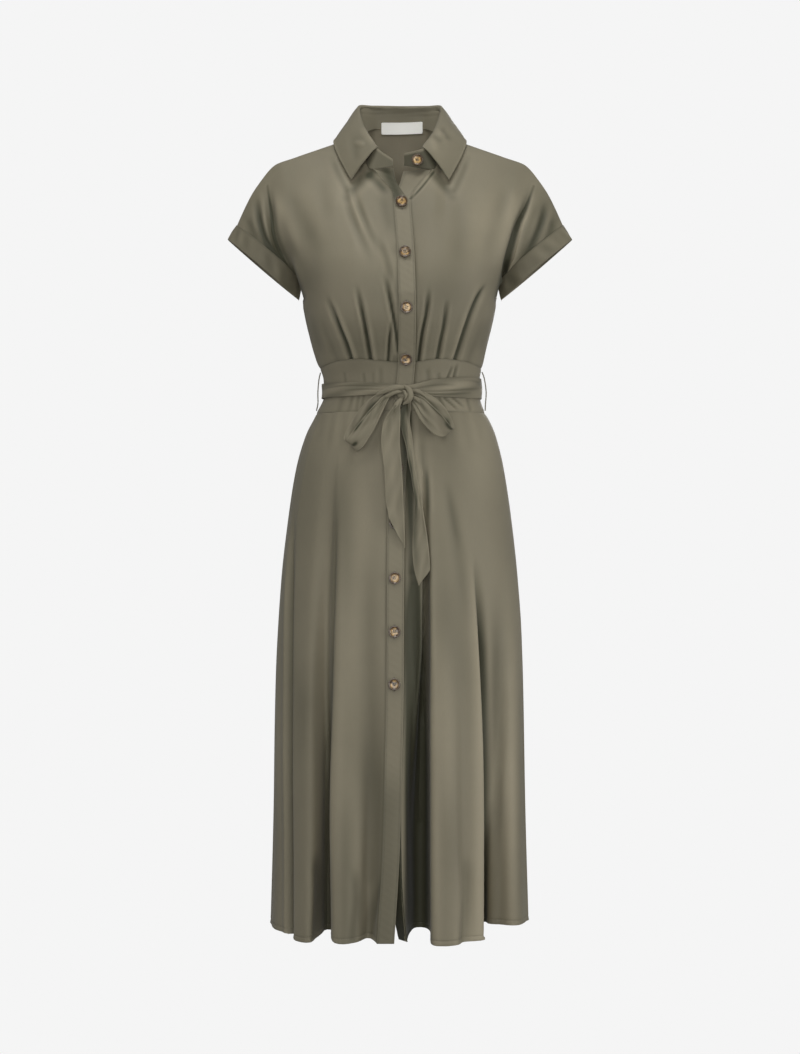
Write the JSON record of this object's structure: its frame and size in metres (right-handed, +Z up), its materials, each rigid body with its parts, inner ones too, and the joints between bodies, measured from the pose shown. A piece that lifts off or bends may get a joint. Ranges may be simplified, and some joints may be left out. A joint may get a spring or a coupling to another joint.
{
  "type": "shirt dress",
  "caption": "Short-sleeved midi shirt dress with a pointed collar, full button front, flared skirt and a sash tied in a bow, filled out as if worn.",
  "frame": {"origin": "midway between the shoulders, level with the neck ends of the shoulder seams, where a wearer holds the dress up", "axes": "+Z up, from the hem to the collar; -Y is the front with the buttons; +X is the wearer's left"},
  "size_m": [0.513, 0.339, 1.2375],
  "materials": {
    "cloth_olive": "matte woven viscose, khaki olive",
    "thread_olive": "twisted thread",
    "label_cream": "smooth woven satin",
    "button_horn": "polished marbled horn look"
  },
  "bodies": {
    "root": {"belt_carrier_left": "thread_olive", "belt_carrier_right": "thread_olive", "bodice_back": "cloth_olive", "bodice_front_left": "cloth_olive", "bodice_front_right": "cloth_olive", "bow_loop_left": "cloth_olive", "bow_loop_right": "cloth_olive", "button_01": "button_horn", "button_02": "button_horn", "button_03": "button_horn", "button_04": "button_horn", "button_05": "button_horn", "button_06": "button_horn", "button_07": "button_horn", "button_08": "button_horn", "button_09": "button_horn", "button_10": "button_horn", "button_collar": "button_horn", "collar_fall": "cloth_olive", "collar_stand": "cloth_olive", "cuff_left": "cloth_olive", "cuff_right": "cloth_olive", "neck_label": "label_cream", "placket_left": "cloth_olive", "placket_right": "cloth_olive", "sash_band": "cloth_olive", "sash_knot": "cloth_olive", "sash_tail_left": "cloth_olive", "sash_tail_right": "cloth_olive", "skirt_back": "cloth_olive", "skirt_front_left": "cloth_olive", "skirt_front_right": "cloth_olive", "waistband_back": "cloth_olive", "waistband_front_left": "cloth_olive", "waistband_front_right": "cloth_olive"}
  },
  "joints": []
}
